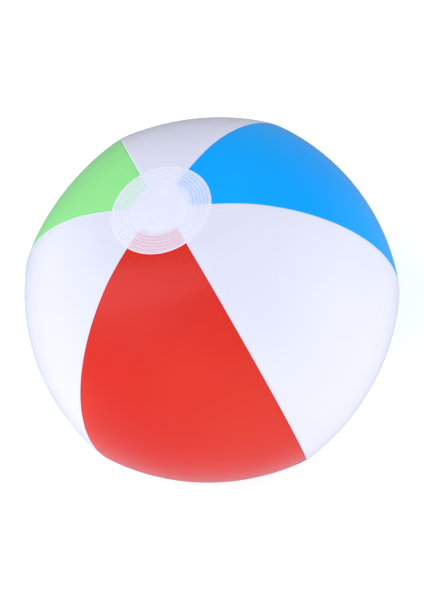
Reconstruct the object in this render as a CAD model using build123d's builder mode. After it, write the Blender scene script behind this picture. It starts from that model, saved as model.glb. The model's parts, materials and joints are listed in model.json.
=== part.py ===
from build123d import *
import os
from math import cos, radians, sin, tan

# An inflated beach ball: six vinyl panels (gores) lap-welded edge to edge, a round disc over the
# panel tips at each pole, and a push-in air valve. Origin at the ball's centre, +Z through the end
# discs. Seen from +Z the panels run counter-clockwise: red, white, blue, white, green, white.
# The red panel faces -Y and the valve is low in the white panel that faces +Y.

# Blown-up shape, over the outer film. Each panel bulges as part of a surface of revolution whose
# vertical axis stands behind the ball's own axis, so the panels are flatter than the seams are round.
panel_count = 6
panel_reach = 163.5  # ball's axis to the middle of a panel, at the equator
lobe_shift = 40.0  # from the ball's axis back to the axis that a panel is round about
belt_arc = 148.0  # radius of the meridian round the equator
belt_top = 55.0  # latitude where the belt arc ends, in degrees
shoulder_arc = 137.5  # radius of the meridian above the belt
shoulder_top = 82.0  # latitude where the shoulder arc ends, in degrees
pole_height = 146.0  # ball's centre to the films at the pole
dome_arc = 535.0  # radius of the nearly flat dome that the discs hold

# Films and welds
film = 0.3  # thickness of the vinyl
weld_gap = 0.05  # space drawn between two films or mouldings that are welded together
lap = 3.0  # how far a white panel's edge and a coloured panel's edge overlap
tip_radius = 20.0  # the panels' tips end on this circle round the pole

# End discs
disc_radius = 40.0
ring_count = 5
outer_ring_radius = 36.8
ring_pitch = 2.7
ring_width = 0.9
ring_rise = 0.3

# Valve, measured from the outer film on the valve's axis. It is drawn pushed in.
valve_latitude = -30.0
hole_radius = 8.5
flange_radius = 14.0
flange_bore = 7.55
flange_thickness = 0.8
skirt_radius = 7.5
skirt_wall = 0.6
skirt_depth = 12.2
skirt_taper = 0.7
stem_radius = 4.6
stem_mouth = 2.4
stem_foot = -12.8
lip_radius = 5.8
lip_thickness = 1.4
lip_round = 0.4
mouth_bore = 3.2  # the plug's stretch of the bore
mouth_bore_end = -4.2
nozzle_bore = 3.0  # the stretch below it, which takes an inflator's nozzle

# Plug, its strap and the hinge where the strap folds back to the stem's tongue
hinge_reach = 12.0
hinge_height = 1.6
knuckle_radius = 0.6
plug_lift = 0.1  # between the lip and the plug's head
head_radius = 5.8
head_thickness = 1.5
nose_length = 6.0
nose_clearance = 0.1
nose_round = 1.0
tab_reach = 8.2
tab_width = 5.0
strap_width = 4.0
strap_thickness = 0.8
strap_round = 0.5  # of the strap's outer corner
edge_round = 0.2  # of the strap's and the tongue's long edges
head_round = 0.4
tongue_gap = 0.1  # between the tongue and the strap's knuckle

# Check flap over the stem's inner end
flap_radius = 4.2
flap_thickness = 0.5
flap_gap = 0.1
flap_hinge_reach = 4.9
flap_knuckle = 0.4
flap_tab_width = 3.0

panel_step = 360 / panel_count
clear_of_ball = 2 * panel_reach

# The valve's own directions: straight out of the film, and sideways towards the strap's hinge
valve_out = Vector(0, cos(radians(valve_latitude)), sin(radians(valve_latitude)))
valve_side = Vector(1, 0, 0)
valve_centre = Vector(0, panel_reach - belt_arc, 0) + valve_out * belt_arc
valve_face = Plane(origin=valve_centre, x_dir=valve_side, z_dir=valve_out)
valve_section = Plane(origin=valve_centre, x_dir=valve_side, z_dir=valve_side.cross(valve_out))
valve_axis = Axis(valve_centre, valve_out)


def panel_direction(turn):
    """Unit vector from the ball's axis to the middle of a panel; panel 0 faces -Y."""
    azimuth = radians(panel_step * turn - 90)
    return Vector(cos(azimuth), sin(azimuth), 0)


def lobe_foot(turn):
    """Point on the vertical axis that a panel is round about."""
    return panel_direction(turn) * -lobe_shift


def lobe_section(turn, inset):
    """Section of the solid of revolution that one panel is the skin of, inside the outer film."""
    middle = panel_direction(turn)
    belt_centre = (lobe_shift + panel_reach - belt_arc, 0)
    looking_across = middle.cross(Vector(0, 0, 1))
    with BuildSketch(Plane(origin=lobe_foot(turn), x_dir=middle, z_dir=looking_across)) as section:
        with BuildLine():
            belt = CenterArc(belt_centre, belt_arc - inset, 0, belt_top)
            shoulder = JernArc(belt @ 1, belt % 1, shoulder_arc - inset, shoulder_top - belt_top)
            end = shoulder @ 1
            crown = Line(end, (0, end.Y + end.X / tan(radians(shoulder_top))))
            mirror(about=Plane.XZ)
            Line(crown @ 1, (0, -(crown @ 1).Y))
        make_face()
    return section.sketch


def lobe(turn, inset):
    """Solid of revolution that one panel is the skin of."""
    with BuildPart() as solid:
        revolve(lobe_section(turn, inset), axis=Axis(lobe_foot(turn), (0, 0, 1)))
    return solid.part


def bulb(inset):
    """Whole inside of the ball, this far inside the outer film."""
    with BuildPart() as solid:
        add(lobe(0, inset))
        for turn in range(1, panel_count):
            add(lobe(turn, inset), mode=Mode.INTERSECT)
        for pole in (1, -1):
            with Locations((0, 0, pole * (pole_height - dome_arc))):
                Sphere(dome_arc - inset, mode=Mode.INTERSECT)
    return solid.part


def panel(turn, outer, inner):
    """One gore: the skin between two bulbs, from seam to seam with half a lap past each seam."""
    middle = panel_direction(turn)
    behind = lap / 2 / sin(radians(panel_step / 2))
    side = clear_of_ball * tan(radians(panel_step / 2))
    with BuildPart() as gore:
        add(outer)
        add(inner, mode=Mode.SUBTRACT)
        with BuildSketch(Plane(origin=(0, 0, -clear_of_ball), x_dir=middle, z_dir=(0, 0, 1))):
            with BuildLine():
                far = clear_of_ball - behind
                Polyline((-behind, 0), (far, -side), (far, side), close=True)
            make_face()
        extrude(amount=2 * clear_of_ball, mode=Mode.INTERSECT)
        Cylinder(tip_radius, 2 * clear_of_ball, mode=Mode.SUBTRACT)
    return gore


def valve_panel(outer, inner):
    """The gore that faces +Y, with the hole that the valve stands in."""
    gore = panel(panel_count // 2, outer, inner)
    with BuildPart() as holed:
        add(gore.part)
        with BuildSketch(valve_face):
            Circle(hole_radius)
        extrude(amount=hole_radius, both=True, mode=Mode.SUBTRACT)
    return holed


def end_disc(pole):
    """Domed disc over the panel tips, with its weld rings; pole is 1 at the top and -1 below."""
    centre_height = pole_height - dome_arc
    with BuildPart() as disc:
        with BuildSketch(Plane.XZ):
            with Locations((0, centre_height)):
                Circle(dome_arc + weld_gap + film)
                Circle(dome_arc + weld_gap, mode=Mode.SUBTRACT)
            with Locations((disc_radius / 2, pole_height)):
                Rectangle(disc_radius, disc_radius, mode=Mode.INTERSECT)
        revolve(axis=Axis.Z)
        with BuildSketch(Plane.XZ):
            for ring in range(ring_count):
                lean = (outer_ring_radius - ring * ring_pitch) / dome_arc
                reach = dome_arc + weld_gap + film
                with Locations((reach * sin(lean), centre_height + reach * cos(lean))):
                    Ellipse(ring_width / 2, ring_rise)
            with Locations((0, centre_height)):
                Circle(dome_arc + weld_gap + film / 2, mode=Mode.SUBTRACT)
        revolve(axis=Axis.Z)
        if pole < 0:
            top = disc.part
            add(top.mirror(Plane.XY), mode=Mode.REPLACE)
    return disc


def valve_flange():
    """Round base welded to the inside of the film, as curved as the film is."""
    depth = film + weld_gap
    with BuildPart() as flange:
        add(lobe(panel_count // 2, depth))
        add(lobe(panel_count // 2, depth + flange_thickness), mode=Mode.SUBTRACT)
        with BuildSketch(valve_face):
            Circle(flange_radius)
            Circle(flange_bore, mode=Mode.SUBTRACT)
        extrude(amount=flange_radius, both=True, mode=Mode.INTERSECT)
    return flange


def valve_skirt():
    """Thin rolling cup between the flange and the foot of the stem."""
    inner_foot = stem_radius + weld_gap
    with BuildPart() as skirt:
        with BuildSketch(valve_section):
            with BuildLine():
                rim = -film - weld_gap
                foot = skirt_radius - skirt_taper
                floor_top = skirt_wall - skirt_depth
                Polyline(
                    (skirt_radius, rim),
                    (foot, -skirt_depth),
                    (inner_foot, -skirt_depth),
                    (inner_foot, floor_top),
                    (foot - skirt_wall, floor_top),
                    (skirt_radius - skirt_wall, rim),
                    close=True,
                )
            make_face()
        revolve(axis=valve_axis)
    return skirt


def stem_tongue():
    """Tongue from the stem's lip out to the strap's knuckle, before the knuckle's room is cut."""
    start = lip_radius - strap_thickness
    with BuildPart() as tongue:
        with BuildSketch(valve_face.offset(hinge_height - strap_thickness / 2)):
            with Locations(((start + hinge_reach) / 2, 0)):
                Rectangle(hinge_reach - start, strap_width)
        extrude(amount=strap_thickness)
        fillet(tongue.edges().filter_by(Axis.X), edge_round)
    return tongue.part


def valve_stem():
    """Mouthpiece tube with its lip, stepped bore and the tongue that the strap folds from."""
    with BuildPart() as stem:
        with BuildSketch(valve_section):
            with BuildLine():
                Polyline(
                    (mouth_bore, stem_mouth),
                    (lip_radius, stem_mouth),
                    (lip_radius, stem_mouth - lip_thickness),
                    (stem_radius, stem_mouth - lip_thickness - (lip_radius - stem_radius) / 2),
                    (stem_radius, stem_foot),
                    (nozzle_bore, stem_foot),
                    (nozzle_bore, mouth_bore_end),
                    (mouth_bore, mouth_bore_end),
                    close=True,
                )
            make_face()
        revolve(axis=valve_axis)
        rims = stem.edges().filter_by(GeomType.CIRCLE).group_by(SortBy.RADIUS)[-1]
        fillet(rims, lip_round)
        add(stem_tongue())
        with BuildSketch(valve_section):
            with Locations((hinge_reach, hinge_height)):
                Circle(knuckle_radius + tongue_gap)
        extrude(amount=strap_width, both=True, mode=Mode.SUBTRACT)
    return stem


def valve_plug():
    """Stopper: a round head with a finger tab and a nose that swings clear of the bore."""
    head_base = stem_mouth + plug_lift
    nose_end = stem_mouth - nose_length
    swing = hinge_reach + mouth_bore - nose_clearance
    top_of_nose = (swing**2 - (head_base - hinge_height) ** 2) ** 0.5 - hinge_reach
    end_of_nose = (swing**2 - (nose_end - hinge_height) ** 2) ** 0.5 - hinge_reach
    with BuildPart() as plug:
        with BuildSketch(valve_section):
            with BuildLine():
                flank = RadiusArc((top_of_nose, head_base), (end_of_nose, nose_end), swing)
                Polyline(flank @ 1, (0, nose_end), (0, head_base), flank @ 0)
            make_face()
        revolve(axis=valve_axis)
        fillet(plug.edges().group_by(valve_axis)[0], nose_round)
        with BuildSketch(valve_face.offset(head_base)):
            Circle(head_radius)
            with Locations((-(tab_reach - tab_width / 2) / 2, 0)):
                Rectangle(tab_reach - tab_width / 2, tab_width)
            with Locations((-(tab_reach - tab_width / 2), 0)):
                Circle(tab_width / 2)
        extrude(amount=head_thickness)
        fillet(plug.faces().sort_by(valve_axis)[-1].edges(), head_round)
    return plug


def plug_strap():
    """Strap from the plug's head out to the knuckle, where it folds back to the stem's tongue."""
    strap_base = stem_mouth + plug_lift
    strap_top = strap_base + strap_thickness
    inner_end = head_radius + weld_gap
    with BuildPart() as strap:
        with BuildSketch(valve_section) as side:
            with Locations((hinge_reach / 2, (strap_base + strap_top) / 2)):
                Rectangle(hinge_reach, strap_thickness)
            with Locations((hinge_reach, (hinge_height + strap_top) / 2)):
                Rectangle(2 * knuckle_radius, strap_top - hinge_height)
            with Locations((hinge_reach, hinge_height)):
                Circle(knuckle_radius)
            fillet(side.vertices().group_by(Axis.Y)[-1].sort_by(Axis.X)[-1], strap_round)
        extrude(amount=strap_width / 2, both=True)
        flanks = strap.faces().group_by(Axis(valve_centre, valve_section.z_dir))
        fillet(flanks[0].edges() + flanks[-1].edges(), edge_round)
        with BuildSketch(valve_face.offset(strap_base)):
            Circle(inner_end)
        extrude(amount=strap_thickness, mode=Mode.SUBTRACT)
    return strap


def check_flap():
    """Round flap that lies on the stem's inner end, with a tab out to its hinge."""
    top = stem_foot - flap_gap
    with BuildPart() as flap:
        with BuildSketch(valve_face.offset(top - flap_thickness)):
            Circle(flap_radius)
            with Locations((flap_hinge_reach / 2, 0)):
                Rectangle(flap_hinge_reach, flap_tab_width)
        extrude(amount=flap_thickness)
        with BuildSketch(valve_section):
            with Locations((flap_hinge_reach, top - flap_thickness / 2)):
                Circle(flap_knuckle)
        extrude(amount=flap_tab_width / 2, both=True)
    return flap


# White panels are in the outer layer and lap over the coloured ones, which are in the layer below
outer_film = bulb(0), bulb(film)
under_film = bulb(film + weld_gap), bulb(2 * film + weld_gap)

pieces = {
    "red_panel": panel(0, *under_film),
    "white_panel_red_blue": panel(1, *outer_film),
    "blue_panel": panel(2, *under_film),
    "white_panel_blue_green": valve_panel(*outer_film),
    "green_panel": panel(4, *under_film),
    "white_panel_green_red": panel(5, *outer_film),
    "top_end_disc": end_disc(1),
    "bottom_end_disc": end_disc(-1),
    "valve_flange": valve_flange(),
    "valve_skirt": valve_skirt(),
    "valve_stem": valve_stem(),
    "valve_plug": valve_plug(),
    "plug_strap": plug_strap(),
    "check_flap": check_flap(),
}

os.makedirs("parts", exist_ok=True)
for name, piece in pieces.items():
    piece.part.label = name
    export_step(piece.part, f"parts/{name}.step")
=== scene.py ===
import json
from math import cos, pi, radians, sin

import bmesh
import bpy
import numpy as np
from mathutils import Matrix, Vector


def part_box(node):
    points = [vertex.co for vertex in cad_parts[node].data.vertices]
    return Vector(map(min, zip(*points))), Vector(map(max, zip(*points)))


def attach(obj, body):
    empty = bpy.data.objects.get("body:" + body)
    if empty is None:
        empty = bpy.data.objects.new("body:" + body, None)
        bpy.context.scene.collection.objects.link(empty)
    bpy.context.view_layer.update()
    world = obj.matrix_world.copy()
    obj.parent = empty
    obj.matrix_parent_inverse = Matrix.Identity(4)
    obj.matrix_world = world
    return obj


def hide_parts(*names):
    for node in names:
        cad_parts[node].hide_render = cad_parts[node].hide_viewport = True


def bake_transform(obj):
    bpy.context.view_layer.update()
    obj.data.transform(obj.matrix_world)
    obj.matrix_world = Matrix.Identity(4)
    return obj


# An inflated beach ball: six vinyl panels lap-welded edge to edge, a translucent disc with weld rings
# over the panel tips at each pole, and a push-in valve low in the white panel that faces +Y.
# Metres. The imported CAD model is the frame; the films and the valve's rolling skirt are rebuilt here.

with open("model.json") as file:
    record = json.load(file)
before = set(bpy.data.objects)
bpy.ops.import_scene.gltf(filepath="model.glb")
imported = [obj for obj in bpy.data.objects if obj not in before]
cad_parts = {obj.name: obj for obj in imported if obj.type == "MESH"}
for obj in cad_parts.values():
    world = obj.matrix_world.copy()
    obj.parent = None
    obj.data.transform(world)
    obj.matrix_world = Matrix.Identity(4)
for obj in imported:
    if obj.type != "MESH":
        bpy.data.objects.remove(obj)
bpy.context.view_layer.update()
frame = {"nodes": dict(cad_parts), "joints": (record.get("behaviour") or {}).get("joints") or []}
nodes = frame["nodes"]
MM = 0.001

# The blown-up outer film: each panel is part of a surface of revolution whose axis stands behind the
# ball's own, and the poles lie on a nearly flat dome.
PANEL_REACH = 163.5 * MM
LOBE_SHIFT = 40 * MM
BELT_ARC = 148 * MM
BELT_TOP = radians(55)
SHOULDER_ARC = 137.5 * MM
SHOULDER_TOP = radians(82)
POLE_HEIGHT = 146 * MM
DOME_ARC = 535 * MM
SEAM_ROUNDING = 1.5 * MM
POLE_ROUNDING = 4 * MM
PANEL_COUNT = 6
PANEL_STEP = 2 * pi / PANEL_COUNT

# Films, laps and discs
FILM = 0.3 * MM
WELD_GAP = 0.05 * MM
LAP = 3 * MM
TIP_RADIUS = 20 * MM
DISC_RADIUS = 40 * MM
RING_COUNT = 5
OUTER_RING = 36.8 * MM
RING_PITCH = 2.7 * MM
RING_HALF_WIDTH = 0.5 * MM
RING_RISE = 0.3 * MM
BEAD_HALF_WIDTH = 0.5 * MM  # of the bead at the disc's rim
BEAD_RISE = 0.12 * MM
DISC_SEGMENTS = 192
UNDER = FILM + WELD_GAP  # depth of the coloured films under the white ones
PRESS = 0.06 * MM  # how far the weld presses down a film's cut edge
PRESS_REACH = 0.25 * MM

# How far each disc sits off the pole, in x and y
TOP_DRIFT = (-0.45 * MM, -1.5 * MM)
BOTTOM_DRIFT = (0.4 * MM, 0.3 * MM)

# How far each seam stands off its even place: round by this many degrees, and sideways by this much
# more. Both count counter-clockwise seen from +Z. They follow the photo's seams where it shows them.
SEAM_LEAN = {
    "green_red|red": 0.45,
    "red|red_blue": 0.25,
    "red_blue|blue": 0.75,
    "blue|blue_green": -0.8,
    "blue_green|green": -1.0,
    "green|green_red": -3.6,
}
SEAM_SHIFT = {
    "green_red|red": -4.4 * MM,
    "red|red_blue": 2.3 * MM,
    "red_blue|blue": -0.9 * MM,
    "blue|blue_green": 2.0 * MM,
    "blue_green|green": 2.1 * MM,
    "green|green_red": 0.0,
}
SHIFT_LEAST_REACH = 30 * MM  # nearer the poles a sideways shift turns no further
FIRST_SEAM = radians(-120)
VALVE_GORE = 3
VALVE_CALM = 0.3  # share of the valve's panel, from each seam, over which the lean dies out

# Valve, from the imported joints
joints = {joint["name"]: joint for joint in frame["joints"]}
VALVE_OUT = Vector(joints["valve_press"]["axis"]).normalized()
VALVE_SIDE = Vector((1, 0, 0))
VALVE_CENTRE = Vector((0, PANEL_REACH - BELT_ARC, 0)) + VALVE_OUT * BELT_ARC
HOLE_RADIUS = 8.5 * MM
VALVE_WELDS = (10.3 * MM, 12.5 * MM)
VALVE_WELD_WIDTH = 0.55 * MM
VALVE_WELD_RISE = 0.16 * MM
SKIRT_RADIUS = 7.5 * MM
SKIRT_WALL = 0.6 * MM
SKIRT_DEPTH = 12.2 * MM
SKIRT_TAPER = 0.7 * MM
SKIRT_BORE = 4.65 * MM
SKIRT_BEND = 1.3 * MM  # outer radius of the turn at the skirt's foot
SKIRT_STEPS = 28
SKIRT_SEGMENTS = 96

# Small irregularities of the film
SEAM_PUCKER = 0.07 * MM
SEAM_PUCKER_REACH = 9 * MM
SHORT_PUCKER = 3.1 * MM
MIDDLE_PUCKER = 5.3 * MM
LONG_PUCKER = 27 * MM
DISC_PLEAT = 0.10 * MM
DISC_PLEAT_REACH = 13 * MM
PLEAT_START = 1.5 * MM  # outside the disc, which sits a little off the pole
PLEAT_FADE_IN = 4 * MM
PUCKER_FADE_IN = 12 * MM
DISC_WAVE = 0.05 * MM

# How finely the films are cut up: stations in from a panel's edge and out from the valve's hole
EDGE_STATIONS = np.array([0, 0.12, 0.4, 0.9, 1.5, 2.1, 2.7, 3.0, 3.3, 3.9, 5.0, 6.8, 9.0]) * MM
VALVE_RINGS = np.array([0, 0.15, 0.5, 0.9, 1.3, 1.7, 2.1, 2.5, 2.9, 3.3, 3.7, 4.1, 4.6, 5.2, 6.0]) * MM
VALVE_OUTER_SHARES = (0.2, 0.45, 0.72)  # of the way from the last ring to the block's rim
VALVE_BLOCK_HALF = 19 * MM
MIDDLE_COLUMNS = 58
ROWS = 220
RIDGE_STEP = 0.125 * MM
HALVINGS = 30
CAST_NEAR = 0.10  # the film lies between these distances from the ball's centre
CAST_FAR = 0.20
VALVE_SAG = (-30 * MM, 5 * MM)  # and between these along the valve's axis from its hole's plane
VALVE_SIDE_DEPTH = 20 * MM  # points deeper than this aren't beside the valve
FAR_FROM_EDGE = 1.0
AT_AXIS = 1e-9
NORMAL_STEP = 0.2 * MM
SHARP_EDGE = radians(50)

# Gloss of the films and light of the studio
FILM_GLOSS = 0.2
FILM_GRAIN = 900.0
FILM_SPECULAR = 0.2
DISC_SPECULAR = 0.3
WELD_TINT = 0.16  # share of the neighbour's colour that shows through a welded margin
COOL_LIGHT = (0.95, 0.98, 1.2)
DIM_SIDE = 0.24
BRIGHT_SIDE = 0.75
FLOOR_REACH = 20.0
FLOOR_GAP = 0.2 * MM
FLOOR_GLOW = 0.6


# ---------------------------------------------------------------------------- the film's surface
def smooth_max(a, b, width):
    """The larger of two distances, rounded where they are nearly equal."""
    share = np.clip(width - np.abs(a - b), 0, None) / width
    return np.maximum(a, b) + share * share * width / 4


def lobe_distance(points, azimuth):
    """Signed distance to the solid of revolution that one panel is the skin of."""
    along = points[..., 0] * cos(azimuth) + points[..., 1] * sin(azimuth) + LOBE_SHIFT
    across = points[..., 1] * cos(azimuth) - points[..., 0] * sin(azimuth)
    reach = np.hypot(along, across)
    height = np.abs(points[..., 2])
    belt_centre = LOBE_SHIFT + PANEL_REACH - BELT_ARC
    shoulder_reach = belt_centre + (BELT_ARC - SHOULDER_ARC) * cos(BELT_TOP)
    shoulder_height = (BELT_ARC - SHOULDER_ARC) * sin(BELT_TOP)
    belt = np.hypot(reach - belt_centre, height) - BELT_ARC
    shoulder = np.hypot(reach - shoulder_reach, height - shoulder_height) - SHOULDER_ARC
    crown = (reach - shoulder_reach) * cos(SHOULDER_TOP)
    crown = crown + (height - shoulder_height) * sin(SHOULDER_TOP) - SHOULDER_ARC
    belt_angle = np.arctan2(height, reach - belt_centre)
    shoulder_angle = np.arctan2(height - shoulder_height, reach - shoulder_reach)
    above = np.where(shoulder_angle < SHOULDER_TOP, shoulder, crown)
    return np.where(belt_angle < BELT_TOP, belt, above)


def skin_distance(points):
    """Signed distance to the ball's outer film, as even seams would make it."""
    lobes = [lobe_distance(points, PANEL_STEP * turn - pi / 2) for turn in range(PANEL_COUNT)]
    ordered = np.sort(np.array(lobes), axis=0)
    bulb = smooth_max(ordered[-1], ordered[-2], SEAM_ROUNDING)
    radial = points[..., 0] ** 2 + points[..., 1] ** 2
    dome = np.sqrt(radial + (np.abs(points[..., 2]) - (POLE_HEIGHT - DOME_ARC)) ** 2) - DOME_ARC
    return smooth_max(bulb, dome, POLE_ROUNDING)


def cast(directions):
    """Points where rays from the ball's centre meet the outer film."""
    near = np.full(directions.shape[:-1], CAST_NEAR)
    far = np.full(directions.shape[:-1], CAST_FAR)
    for _ in range(HALVINGS):
        middle = (near + far) / 2
        inside = skin_distance(directions * middle[..., None]) < 0
        near = np.where(inside, middle, near)
        far = np.where(inside, far, middle)
    return directions * near[..., None]


def skin_normal(points):
    """Outward direction of the film at points on it."""
    slopes = []
    for step in np.eye(3) * NORMAL_STEP:
        slopes.append(skin_distance(points + step) - skin_distance(points - step))
    normal = np.stack(slopes, axis=-1)
    return normal / np.linalg.norm(normal, axis=-1, keepdims=True)


def ease(share):
    """0 to 1 with a soft start and end."""
    share = np.clip(share, 0, 1)
    return share * share * (3 - 2 * share)


def lean_at(azimuth, reach):
    """How far round the film stands from its even place, in radians."""
    radius = np.maximum(reach, SHIFT_LEAST_REACH)
    turn = (azimuth - FIRST_SEAM) / PANEL_STEP
    gore = np.floor(turn).astype(int)
    share = turn - gore
    lean = np.radians(list(SEAM_LEAN.values()))
    shift = np.array(list(SEAM_SHIFT.values()))
    before = lean[gore % PANEL_COUNT] + shift[gore % PANEL_COUNT] / radius
    after = lean[(gore + 1) % PANEL_COUNT] + shift[(gore + 1) % PANEL_COUNT] / radius
    plain = before + (after - before) * ease(share)
    calm = before * ease(1 - share / VALVE_CALM) + after * ease((share - 1 + VALVE_CALM) / VALVE_CALM)
    return np.where(gore % PANEL_COUNT == VALVE_GORE, calm, plain)


def ripple(points):
    """Rise of the small puckers: across the seams, and fanning out from the end discs."""
    azimuth = np.arctan2(points[..., 1], points[..., 0])
    reach = np.hypot(points[..., 0], points[..., 1])
    height = points[..., 2]
    turn = (azimuth - FIRST_SEAM) / PANEL_STEP
    seam_gap = np.abs(turn - np.round(turn)) * PANEL_STEP * reach
    seam = np.round(turn) % PANEL_COUNT
    meridian = np.arctan2(height, reach) * PANEL_REACH
    beat = np.sin(meridian / SHORT_PUCKER + seam * 1.7)
    beat = beat + 0.6 * np.sin(meridian / MIDDLE_PUCKER + seam * 2.9)
    strength = 0.55 + 0.45 * np.sin(meridian / LONG_PUCKER + seam * 2.1)
    puckers = SEAM_PUCKER * beat * strength * np.exp(-seam_gap / SEAM_PUCKER_REACH)
    fan = np.sin(azimuth * 41 + np.sin(azimuth * 5) * 1.4) + 0.5 * np.sin(azimuth * 67 + 0.8)
    gust = 0.6 + 0.4 * np.sin(azimuth * 3 + np.where(height > 0, 0.9, 2.4))
    outside = np.clip(reach - DISC_RADIUS, 0, None)
    start = ease((reach - DISC_RADIUS - PLEAT_START) / PLEAT_FADE_IN)
    pleats = DISC_PLEAT * fan * gust * start * np.exp(-outside / DISC_PLEAT_REACH)
    puckers = puckers * ease((reach - DISC_RADIUS) / PUCKER_FADE_IN)
    return (puckers + pleats) * np.where(reach > DISC_RADIUS, 1, 0)


def lean_points(points):
    """Points turned about the ball's axis to where its uneven seams put them."""
    turn = lean_at(np.arctan2(points[..., 1], points[..., 0]), np.hypot(points[..., 0], points[..., 1]))
    x = points[..., 0] * np.cos(turn) - points[..., 1] * np.sin(turn)
    y = points[..., 0] * np.sin(turn) + points[..., 1] * np.cos(turn)
    return np.stack([x, y, points[..., 2]], axis=-1)


# ---------------------------------------------------------------------------- film meshes
def directions_of(polar, azimuth):
    """Unit vectors from the angle off the pole and the azimuth."""
    flat = np.sin(polar)
    return np.stack([flat * np.cos(azimuth), flat * np.sin(azimuth), np.cos(polar) + 0 * azimuth], axis=-1)


def gore_grid(past):
    """Even grid over the panel that faces -Y, this far past its seams, and each point's distance in
    from the nearer edge."""
    tip_height = POLE_HEIGHT - DOME_ARC + np.sqrt(DOME_ARC**2 - TIP_RADIUS**2)
    tip = np.arctan2(TIP_RADIUS, tip_height)
    polar = np.linspace(tip, pi - tip, ROWS)
    seam_reach = np.hypot(*np.moveaxis(cast(directions_of(polar, FIRST_SEAM + 0 * polar)), -1, 0)[:2])
    half = PANEL_STEP / 2 + np.arcsin(past / seam_reach)
    edge = EDGE_STATIONS[None, :] / seam_reach[:, None]
    inner = half - edge[:, -1]
    share = np.linspace(-1, 1, MIDDLE_COLUMNS + 2)[1:-1]
    columns = [edge - half[:, None], inner[:, None] * share[None, :], half[:, None] - edge[:, ::-1]]
    across = np.concatenate(columns, axis=1)
    inset = (half[:, None] - np.abs(across)) * seam_reach[:, None]
    points = cast(directions_of(polar[:, None], across - pi / 2))
    return points, inset


def turned(points, angle):
    """Points turned about the ball's axis."""
    x = points[..., 0] * cos(angle) - points[..., 1] * sin(angle)
    y = points[..., 0] * sin(angle) + points[..., 1] * cos(angle)
    return np.stack([x, y, points[..., 2]], axis=-1)


def grid_faces(count_down, count_across, skip=None):
    """Quads of a grid of points, without the block of cells named by skip."""
    down, across = np.meshgrid(np.arange(count_down - 1), np.arange(count_across - 1), indexing="ij")
    keep = np.ones(down.shape, bool)
    if skip:
        keep[skip[0] : skip[1], skip[2] : skip[3]] = False
    first = (down * count_across + across)[keep]
    return np.stack([first, first + count_across, first + count_across + 1, first + 1], axis=-1)


def block_rim(block, count_across):
    """Indices of the points round a block of cells, in order."""
    top, bottom, left, right = block
    rim = [(top, column) for column in range(left, right)]
    rim += [(row, right) for row in range(top, bottom)]
    rim += [(bottom, column) for column in range(right, left, -1)]
    rim += [(row, left) for row in range(bottom, top, -1)]
    return np.array([row * count_across + column for row, column in rim])


def valve_patch(points):
    """Cells left out round the valve, and the rings of points that fill in as far as its hole."""
    centre = np.array(VALVE_CENTRE)
    side = np.array(VALVE_SIDE)
    down = np.array(VALVE_OUT.cross(VALVE_SIDE))
    offset = points - centre
    near = (np.abs(offset @ side) < VALVE_BLOCK_HALF) & (np.abs(offset @ down) < VALVE_BLOCK_HALF)
    rows, columns = np.where(near & (points @ np.array(VALVE_OUT) > 0))
    block = (rows.min(), rows.max(), columns.min(), columns.max())
    rim = points.reshape(-1, 3)[block_rim(block, points.shape[1])]
    spoke = rim - centre
    spoke = spoke - np.outer(spoke @ np.array(VALVE_OUT), np.array(VALVE_OUT))
    reach = np.linalg.norm(spoke, axis=1, keepdims=True)
    spoke = spoke / reach
    rings = [centre + spoke * (HOLE_RADIUS + station) for station in VALVE_RINGS]
    outer = HOLE_RADIUS + VALVE_RINGS[-1]
    for share in VALVE_OUTER_SHARES:
        rings.append(centre + spoke * (outer + (reach - outer) * share))
    return block, np.array([onto_skin_along_valve(ring) for ring in rings])


def onto_skin_along_valve(flat):
    """Points moved along the valve's axis until they lie on the film."""
    out = np.array(VALVE_OUT)
    low = np.full(len(flat), VALVE_SAG[0])
    high = np.full(len(flat), VALVE_SAG[1])
    for _ in range(HALVINGS):
        middle = (low + high) / 2
        inside = skin_distance(flat + middle[:, None] * out) < 0
        low = np.where(inside, middle, low)
        high = np.where(inside, high, middle)
    return flat + low[:, None] * out


def weld_rings(points):
    """Rise of the two weld lines that hold the valve's flange."""
    offset = points - np.array(VALVE_CENTRE)
    out = np.array(VALVE_OUT)
    reach = np.linalg.norm(offset - (offset @ out)[:, None] * out, axis=1)
    rise = sum(np.exp(-(((reach - ring) / VALVE_WELD_WIDTH) ** 2)) for ring in VALVE_WELDS)
    return VALVE_WELD_RISE * rise * (offset @ out > -VALVE_SIDE_DEPTH)


def closed_film(name, outside, normal, faces, depth, attributes):
    """Mesh object of a film: an outer face, an inner face and the cut edges between them."""
    count = len(outside)
    vertices = np.concatenate([outside - normal * depth, outside - normal * (depth + FILM)])
    inner = faces[:, ::-1] + count
    edges = np.concatenate([faces[:, [0, 1]], faces[:, [1, 2]], faces[:, [2, 3]], faces[:, [3, 0]]])
    _, first, uses = np.unique(np.sort(edges, axis=1), axis=0, return_index=True, return_counts=True)
    border = edges[first[uses == 1]]
    walls = np.stack([border[:, 1], border[:, 0], border[:, 0] + count, border[:, 1] + count], axis=-1)
    mesh = bpy.data.meshes.new(name)
    mesh.from_pydata(vertices.tolist(), [], faces.tolist() + inner.tolist() + walls.tolist())
    for label, values in attributes.items():
        layer = mesh.attributes.new(label, "FLOAT", "POINT")
        layer.data.foreach_set("value", np.concatenate([values, values]).astype(np.float32))
    return finished_object(name, mesh)


def finished_object(name, mesh):
    """Object for a mesh: consistent faces, smooth shading broken only at cut edges."""
    mesh.validate()
    tidy = bmesh.new()
    tidy.from_mesh(mesh)
    bmesh.ops.recalc_face_normals(tidy, faces=tidy.faces)
    tidy.to_mesh(mesh)
    tidy.free()
    mesh.shade_smooth()
    mesh.set_sharp_from_angle(angle=SHARP_EDGE)
    thing = bpy.data.objects.new(name, mesh)
    bpy.context.scene.collection.objects.link(thing)
    return thing


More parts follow.
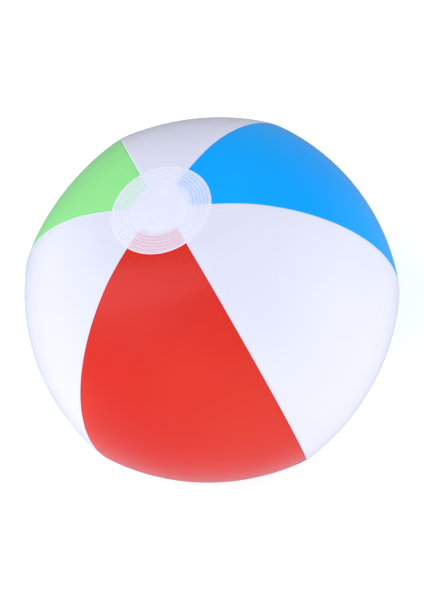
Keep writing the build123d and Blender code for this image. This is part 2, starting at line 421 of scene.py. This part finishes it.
def panel_film(name, turn, grid, layer_depth):
    """One panel: its grid turned into place, leaned to its seams, with the lap marked."""
    points, inset = grid
    points = turned(points, PANEL_STEP * turn)
    faces = grid_faces(*points.shape[:2])
    side = np.repeat(np.linspace(-1, 1, points.shape[1])[None, :], points.shape[0], axis=0)
    flat = points.reshape(-1, 3)
    inset = inset.reshape(-1)
    side = side.reshape(-1)
    if turn == VALVE_GORE:
        block, rings = valve_patch(points)
        faces = grid_faces(*points.shape[:2], skip=block)
        rim = block_rim(block, points.shape[1])
        start = len(flat)
        loops = [start + np.arange(len(rim)) + len(rim) * ring for ring in range(len(rings))] + [rim]
        patch = []
        for inner, outer in zip(loops[:-1], loops[1:]):
            patch.append(np.stack([inner, outer, np.roll(outer, -1), np.roll(inner, -1)], axis=-1))
        faces = np.concatenate([faces, *patch])
        flat = np.concatenate([flat, rings.reshape(-1, 3)])
        inset = np.concatenate([inset, np.full(rings.size // 3, FAR_FROM_EDGE)])
        side = np.concatenate([side, np.zeros(rings.size // 3)])
    normal = skin_normal(flat)
    rise = ripple(flat)
    if turn == VALVE_GORE:
        rise = rise + weld_rings(flat)
    flat = flat + normal * rise[:, None]
    press = PRESS * np.exp(-inset / PRESS_REACH)
    flat = flat - normal * press[:, None]
    bare = lean_points(flat)
    tip = lean_points(flat + normal * MM)
    normal = (tip - bare) / np.linalg.norm(tip - bare, axis=-1, keepdims=True)
    attributes = {"inset": inset / MM, "side": side}
    return closed_film(name, bare, normal, faces, layer_depth, attributes)


# ---------------------------------------------------------------------------- revolved pieces
def revolved(name, profile, centre, out, side, segments, looped=False, wave=None):
    """Mesh object of a profile of (reach, height) pairs turned about an axis."""
    across = out.cross(side)
    angle = np.linspace(0, 2 * pi, segments, endpoint=False)
    spoke = np.outer(np.cos(angle), side) + np.outer(np.sin(angle), across)
    vertices, rings = [], []
    for reach, height in profile:
        at_axis = reach < AT_AXIS
        rings.append(len(vertices) + (np.zeros(segments, int) if at_axis else np.arange(segments)))
        lift = height + (wave(reach, angle) if wave else 0 * angle)
        ring = np.array(centre) + np.outer(lift, out) + spoke * reach
        vertices += ring[:1].tolist() if at_axis else ring.tolist()
    pairs = list(zip(rings[:-1], rings[1:]))
    if looped:
        pairs.append((rings[-1], rings[0]))
    faces = []
    for inner, outer in pairs:
        corners = np.stack([inner, outer, np.roll(outer, -1), np.roll(inner, -1)], axis=-1)
        faces += [list(dict.fromkeys(face)) for face in corners.tolist()]
    mesh = bpy.data.meshes.new(name)
    mesh.from_pydata(vertices, [], faces)
    return finished_object(name, mesh)


def ring_rise(reach):
    """Rise of the disc's weld rings and of the bead at its rim."""
    rise = 0
    for ring in range(RING_COUNT):
        gap = (reach - OUTER_RING + ring * RING_PITCH) / RING_HALF_WIDTH
        rise = rise + RING_RISE * np.where(np.abs(gap) < 1, np.cos(gap * pi / 2) ** 2, 0)
    gap = (reach - DISC_RADIUS + BEAD_HALF_WIDTH) / BEAD_HALF_WIDTH
    return rise + BEAD_RISE * np.where(np.abs(gap) < 1, np.cos(gap * pi / 2) ** 2, 0)


def disc_wave(reach, angle):
    """Slight waviness of the disc, all of it away from the panels."""
    share = ease(reach / DISC_RADIUS - 0.4)
    return DISC_WAVE * share * (1 + np.sin(angle * 5 + 0.7) * 0.6 + np.sin(angle * 9 + 2.0) * 0.4)


def end_disc(name, pole, drift):
    """Domed disc over the panel tips at one pole, with real weld ridges and a rounded rim."""
    inner_arc = DOME_ARC + WELD_GAP
    weld_zone = OUTER_RING - RING_COUNT * RING_PITCH
    plain = np.linspace(0, weld_zone, 16)
    welds = np.arange(weld_zone, DISC_RADIUS - FILM / 2, RIDGE_STEP)[1:]
    reaches = np.concatenate([plain, welds])
    outer = [(r, np.sqrt((inner_arc + FILM) ** 2 - r * r) + ring_rise(r)) for r in reaches]
    rim_height = np.sqrt((inner_arc + FILM / 2) ** 2 - DISC_RADIUS**2)
    turn = np.radians([60, 30, 0, -30, -60])
    rim = [(DISC_RADIUS - FILM / 2 * (1 - cos(a)), rim_height + FILM / 2 * sin(a)) for a in turn]
    inner = [(r, np.sqrt(inner_arc**2 - r * r)) for r in reaches[::-4]]
    if inner[-1][0] > 0:
        inner.append((0, inner_arc))
    dome_centre = Vector((0, 0, pole * (POLE_HEIGHT - DOME_ARC)))
    out = (Vector((*drift, 0)) + Vector((0, 0, pole * DOME_ARC))).normalized()
    side = Vector((0, 1, 0)).cross(out).normalized()
    return revolved(name, outer + rim + inner, dome_centre, out, side, DISC_SEGMENTS, wave=disc_wave)


def rolling_skirt():
    """Thin cup that lets the stem be pushed in: straight wall, round turn at its foot, flat floor."""
    rim = -FILM - WELD_GAP
    foot = -SKIRT_DEPTH
    wall_foot = SKIRT_RADIUS - SKIRT_TAPER
    share = np.linspace(0, 1, SKIRT_STEPS)
    outside = [(SKIRT_RADIUS - SKIRT_TAPER * s, rim + (foot + SKIRT_BEND - rim) * s) for s in share]
    corner = np.radians(np.linspace(0, 90, 8))[1:]
    outside += [(wall_foot - SKIRT_BEND * (1 - cos(a)), foot + SKIRT_BEND * (1 - sin(a))) for a in corner]
    outside.append((SKIRT_BORE, foot))
    small = SKIRT_BEND - SKIRT_WALL
    reach, height = wall_foot - SKIRT_WALL, foot + SKIRT_WALL
    inside = [(SKIRT_BORE, height)]
    inside += [(reach - small * (1 - cos(a)), height + small * (1 - sin(a))) for a in corner[::-1]]
    inside += [(r - SKIRT_WALL, h) for r, h in outside[:SKIRT_STEPS][::-1]]
    place = (VALVE_CENTRE, VALVE_OUT, VALVE_SIDE)
    return revolved("valve_skirt_film", outside + inside, *place, SKIRT_SEGMENTS, looped=True)


# ---------------------------------------------------------------------------- materials
def srgb(red, green, blue):
    """Linear colour from display values of 0 to 255."""
    shares = (channel / 255 for channel in (red, green, blue))
    return tuple(s / 12.92 if s <= 0.04045 else ((s + 0.055) / 1.055) ** 2.4 for s in shares)


class Nodes:
    """Short way to build one material's nodes."""

    def __init__(self, name):
        self.material = bpy.data.materials.new(name)
        self.material.use_nodes = True
        self.tree = self.material.node_tree
        self.shader = self.tree.nodes["Principled BSDF"]
        self.place = self.add("ShaderNodeTexCoord").outputs["Object"]

    def add(self, kind, **settings):
        node = self.tree.nodes.new(kind)
        for key, value in settings.items():
            setattr(node, key, value)
        return node

    def link(self, source, target):
        self.tree.links.new(source, target)

    def put(self, socket, value):
        """Gives a socket a value, or another node's output."""
        if isinstance(value, bpy.types.NodeSocket):
            self.link(value, socket)
        elif isinstance(value, tuple):
            opaque = len(value) == 3 and len(socket.default_value) == 4
            socket.default_value = (*value, 1) if opaque else value
        else:
            socket.default_value = value

    def math(self, operation, a, b=0.0, clamp=False):
        node = self.add("ShaderNodeMath", operation=operation, use_clamp=clamp)
        for socket, value in zip(node.inputs, (a, b)):
            self.put(socket, value)
        return node.outputs[0]

    def noise(self, scale, detail=2.0, roughness=0.5):
        node = self.add("ShaderNodeTexNoise")
        self.link(self.place, node.inputs["Vector"])
        node.inputs["Scale"].default_value = scale
        node.inputs["Detail"].default_value = detail
        node.inputs["Roughness"].default_value = roughness
        return node.outputs["Fac"]

    def mix(self, share, a, b):
        node = self.add("ShaderNodeMix", data_type="RGBA")
        self.put(node.inputs["Factor"], share)
        colours = [socket for socket in node.inputs if socket.type == "RGBA"]
        self.put(colours[0], a)
        self.put(colours[1], b)
        return next(socket for socket in node.outputs if socket.type == "RGBA")

    def attribute(self, name):
        return self.add("ShaderNodeAttribute", attribute_name=name).outputs["Fac"]

    def between(self, value, low, high, to_low=0.0, to_high=1.0):
        """Soft step of a value from to_low to to_high, as it goes from low to high."""
        node = self.add("ShaderNodeMapRange", interpolation_type="SMOOTHSTEP")
        self.put(node.inputs["Value"], value)
        limits = {"From Min": low, "From Max": high, "To Min": to_low, "To Max": to_high}
        for socket, number in limits.items():
            node.inputs[socket].default_value = number
        return node.outputs["Result"]

    def finish(self, colour, gloss, grain, depth, specular=FILM_SPECULAR):
        """Colour, gloss with faint scuffs, and a fine grain, on the shader."""
        self.put(self.shader.inputs["Base Color"], colour)
        self.shader.inputs["Specular IOR Level"].default_value = specular
        scuffs = self.noise(34.0, 5.0, 0.65)
        rough = self.between(scuffs, 0.35, 0.75, gloss, gloss + 0.07)
        self.put(self.shader.inputs["Roughness"], rough)
        fine = self.noise(grain, 3.0, 0.6)
        bump = self.add("ShaderNodeBump")
        bump.inputs["Strength"].default_value = 0.25
        bump.inputs["Distance"].default_value = depth
        self.link(fine, bump.inputs["Height"])
        self.link(bump.outputs["Normal"], self.shader.inputs["Normal"])
        return self.material


RED = srgb(231, 46, 28)
RED_PALE = srgb(237, 60, 40)
BLUE = srgb(0, 174, 255)
BLUE_PALE = srgb(10, 182, 255)
GREEN = srgb(156, 247, 140)
GREEN_PALE = srgb(166, 252, 148)
WHITE = srgb(238, 238, 238)
WHITE_PALE = srgb(243, 243, 241)
WELD_WHITE = srgb(251, 251, 250)


def coloured_vinyl(name, colour, pale):
    """Opaque glossy film, a little lighter in broad patches, with painted shade: a thin darker line beside
    the lap stands in for the shadow of the white film's edge.
    """
    kit = Nodes(name)
    patches = kit.between(kit.noise(7.0, 1.5), 0.35, 0.7)
    tone = kit.mix(patches, colour, pale)
    inset = kit.attribute("inset")
    # painted shade: the coloured film is darkened in a thin line just outside the white film's edge, in
    # place of the shadow its step casts
    line = kit.math("MULTIPLY", kit.between(inset, 2.7, 3.0), kit.between(inset, 3.15, 4.1, 1.0, 0.0))
    painted_step_shade = tuple(channel * 0.62 for channel in colour)
    tone = kit.mix(kit.math("MULTIPLY", line, 0.8), tone, painted_step_shade)
    return kit.finish(tone, FILM_GLOSS, FILM_GRAIN, 0.02 * MM)


def tinted(colour, behind):
    """A film's colour with a little of what lies behind it."""
    return tuple(c * (1 - WELD_TINT) + b * WELD_TINT for c, b in zip(colour, behind))


def white_vinyl(name, left, right):
    """White film whose welded margin shows the neighbour's colour faintly, on each side its own."""
    kit = Nodes(name)
    patches = kit.between(kit.noise(6.0, 1.5), 0.35, 0.7)
    tone = kit.mix(patches, WHITE, WHITE_PALE)
    inset = kit.attribute("inset")
    left_weld = tinted(WELD_WHITE, left)
    right_weld = tinted(WELD_WHITE, right)
    weld = kit.mix(kit.between(kit.attribute("side"), -0.2, 0.2), left_weld, right_weld)
    lap = kit.between(inset, 1.5, 2.3, 1.0, 0.0)
    tone = kit.mix(lap, tone, weld)
    return kit.finish(tone, FILM_GLOSS, FILM_GRAIN, 0.02 * MM)


def disc_vinyl(name, drift):
    """Milky film: nearly opaque in the middle, clearer over the panel tips and in its weld lines, with a
    painted highlight: nearly opaque white at the rim, for the light its cut edge catches.
    """
    kit = Nodes(name)
    flat = kit.add("ShaderNodeVectorMath", operation="MULTIPLY_ADD")
    kit.link(kit.place, flat.inputs[0])
    flat.inputs[1].default_value = (1, 1, 0)
    flat.inputs[2].default_value = (-drift[0], -drift[1], 0)
    length = kit.add("ShaderNodeVectorMath", operation="LENGTH")
    kit.link(flat.outputs["Vector"], length.inputs[0])
    reach = length.outputs["Value"]
    middle = kit.between(reach, 0.45 * DISC_RADIUS, 0.66 * DISC_RADIUS, 0.93, 0.54)
    gap = kit.math("DIVIDE", kit.math("SUBTRACT", OUTER_RING, reach), RING_PITCH)
    beat = kit.math("ABSOLUTE", kit.math("SUBTRACT", gap, kit.math("ROUND", gap)))
    line = kit.between(beat, 0.06, 0.24, 1.0, 0.0)
    inside = kit.between(gap, -0.4, -0.3)
    outside = kit.between(gap, RING_COUNT - 0.7, RING_COUNT - 0.6, 1.0, 0.0)
    line = kit.math("MULTIPLY", line, kit.math("MULTIPLY", inside, outside))
    # painted highlight: the outer millimetre of the rim is made nearly opaque white, all round, in place
    # of the light its cut edge catches
    rim = kit.between(reach, DISC_RADIUS - 1.0 * MM, DISC_RADIUS - 0.6 * MM)
    alpha = kit.math("SUBTRACT", middle, kit.math("MULTIPLY", line, 0.16), clamp=True)
    alpha = kit.math("MAXIMUM", alpha, kit.math("MULTIPLY", rim, 0.9))
    cloud = kit.between(kit.noise(22.0, 2.0), 0.3, 0.7)
    tone = kit.mix(cloud, srgb(248, 247, 247), srgb(252, 251, 251))
    kit.put(kit.shader.inputs["Alpha"], alpha)
    return kit.finish(tone, 0.24, 700.0, 0.02 * MM, DISC_SPECULAR)


def valve_vinyl():
    """Soft moulded vinyl of the valve: milky, satin, with a fine moulding grain."""
    kit = Nodes("milky_valve_vinyl")
    cloud = kit.between(kit.noise(120.0, 2.0), 0.35, 0.7)
    tone = kit.mix(cloud, srgb(226, 229, 240), srgb(236, 238, 246))
    return kit.finish(tone, 0.32, 2600.0, 0.03 * MM)


def wear(thing, material):
    """Gives an object one material, in the slots it already has."""
    if not thing.material_slots:
        thing.data.materials.append(material)
    for slot in thing.material_slots:
        slot.material = material


# ---------------------------------------------------------------------------- the ball
upper_grid = gore_grid(0.0)
under_grid = gore_grid(LAP)
colours = {"red": (RED, RED_PALE), "blue": (BLUE, BLUE_PALE), "green": (GREEN, GREEN_PALE)}
order = ("red", "red_blue", "blue", "blue_green", "green", "green_red")
for turn, place in enumerate(order):
    if place in colours:
        name, node, slot = f"{place}_film", f"{place}_panel", f"{place}_vinyl"
        material = coloured_vinyl(f"{slot}_film", *colours[place])
        film = panel_film(name, turn, under_grid, UNDER)
    else:
        name, node, slot = f"white_film_{place}", f"white_panel_{place}", "white_vinyl"
        left, right = place.split("_")
        material = white_vinyl(f"white_vinyl_{place}", colours[left][0], colours[right][0])
        film = panel_film(name, turn, upper_grid, 0.0)
    wear(film, material)
    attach(film, "ball")
    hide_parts(node)

discs = {
    "top_disc_film": ("top_end_disc", 1, TOP_DRIFT),
    "bottom_disc_film": ("bottom_end_disc", -1, BOTTOM_DRIFT),
}
for name, (node, pole, drift) in discs.items():
    disc = end_disc(name, pole, drift)
    wear(disc, disc_vinyl(name + "_vinyl", drift))
    disc.visible_shadow = False
    disc.visible_diffuse = False
    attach(disc, "ball")
    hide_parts(node)

valve_material = valve_vinyl()
skirt = rolling_skirt()
wear(skirt, valve_material)
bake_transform(skirt)
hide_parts("valve_skirt")
for node in ("valve_flange", "valve_stem", "valve_plug", "plug_strap", "check_flap"):
    wear(nodes[node], valve_material)


# ---------------------------------------------------------------------------- studio
def floor():
    """Plain pale floor under the ball."""
    mesh = bpy.data.meshes.new("floor")
    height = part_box("bottom_end_disc")[0].z - FLOOR_GAP
    signs = ((-1, -1), (1, -1), (1, 1), (-1, 1))
    corners = [(x * FLOOR_REACH, y * FLOOR_REACH, height) for x, y in signs]
    mesh.from_pydata(corners, [], [(0, 1, 2, 3)])
    thing = bpy.data.objects.new("floor", mesh)
    bpy.context.scene.collection.objects.link(thing)
    kit = Nodes("pale_floor")
    tone = kit.mix(kit.noise(3.0), (0.66, 0.66, 0.665), (0.70, 0.70, 0.705))
    kit.put(kit.shader.inputs["Base Color"], tone)
    kit.shader.inputs["Roughness"].default_value = 0.8
    kit.shader.inputs["Emission Color"].default_value = (1, 1, 1, 1)
    kit.shader.inputs["Emission Strength"].default_value = FLOOR_GLOW
    thing.data.materials.append(kit.material)
    thing.visible_glossy = False


def softbox(name, direction, distance, size, power, mirrored=True, lights_film=True):
    """Large area light that faces the ball. A mirrored one shows in the film's gloss; one that
    doesn't light the film shows nowhere else."""
    light = bpy.data.lights.new(name, "AREA")
    light.shape = "RECTANGLE"
    light.size, light.size_y = size
    light.energy = power
    light.color = COOL_LIGHT
    thing = bpy.data.objects.new(name, light)
    bpy.context.scene.collection.objects.link(thing)
    direction = Vector(direction).normalized()
    thing.location = direction * distance
    thing.rotation_euler = direction.to_track_quat("Z", "Y").to_euler()
    thing.visible_camera = False
    thing.visible_glossy = mirrored
    thing.visible_diffuse = lights_film


def surroundings():
    """Pale light from all round, dimmer towards +Y."""
    world = bpy.data.worlds.new("studio")
    world.use_nodes = True
    tree = world.node_tree
    backdrop = tree.nodes["Background"]
    place = tree.nodes.new("ShaderNodeTexCoord")
    parts = tree.nodes.new("ShaderNodeSeparateXYZ")
    share = tree.nodes.new("ShaderNodeMapRange")
    share.interpolation_type = "SMOOTHSTEP"
    share.inputs["From Min"].default_value = 0.95
    share.inputs["From Max"].default_value = -0.55
    share.inputs["To Min"].default_value = DIM_SIDE
    share.inputs["To Max"].default_value = BRIGHT_SIDE
    backdrop.inputs["Color"].default_value = (*COOL_LIGHT, 1)
    tree.links.new(place.outputs["Generated"], parts.inputs[0])
    tree.links.new(parts.outputs["Y"], share.inputs["Value"])
    tree.links.new(share.outputs["Result"], backdrop.inputs["Strength"])
    bpy.context.scene.world = world


def camera():
    """The photograph's view: from above the red panel, with the frame rolled."""
    azimuth, elevation, roll = radians(27.998), radians(57.138), radians(27.955)
    distance = 0.7807
    back = Vector((sin(azimuth) * cos(elevation), -cos(azimuth) * cos(elevation), sin(elevation)))
    level = (-back).cross(Vector((0, 0, 1))).normalized()
    up = level.cross(-back)
    right = level * cos(roll) - up * sin(roll)
    up = up * cos(roll) + level * sin(roll)
    data = bpy.data.cameras.new("camera")
    data.sensor_width = 36
    data.lens = 51.94
    data.shift_x = 0.00401
    data.shift_y = -0.00225
    data.clip_start = 0.01
    data.clip_end = 100
    thing = bpy.data.objects.new("camera", data)
    bpy.context.scene.collection.objects.link(thing)
    turn = Matrix((right, up, back)).transposed()
    thing.matrix_world = Matrix.Translation(back * distance) @ turn.to_4x4()
    bpy.context.scene.camera = thing


floor()
surroundings()
softbox("overhead", (-0.5, -0.27, 0.8), distance=2.2, size=(2.0, 2.0), power=18.5, mirrored=False)
softbox("left", (-0.96, 0.10, 0.30), distance=1.6, size=(1.4, 1.4), power=3.4)
softbox("right", (0.90, 0.10, 0.25), distance=1.6, size=(1.4, 1.4), power=7.5)
softbox("glow", (-0.36, -0.05, 0.92), distance=2.2, size=(1.3, 2.4), power=13, lights_film=False)
camera()
bpy.context.scene.view_settings.view_transform = "Standard"
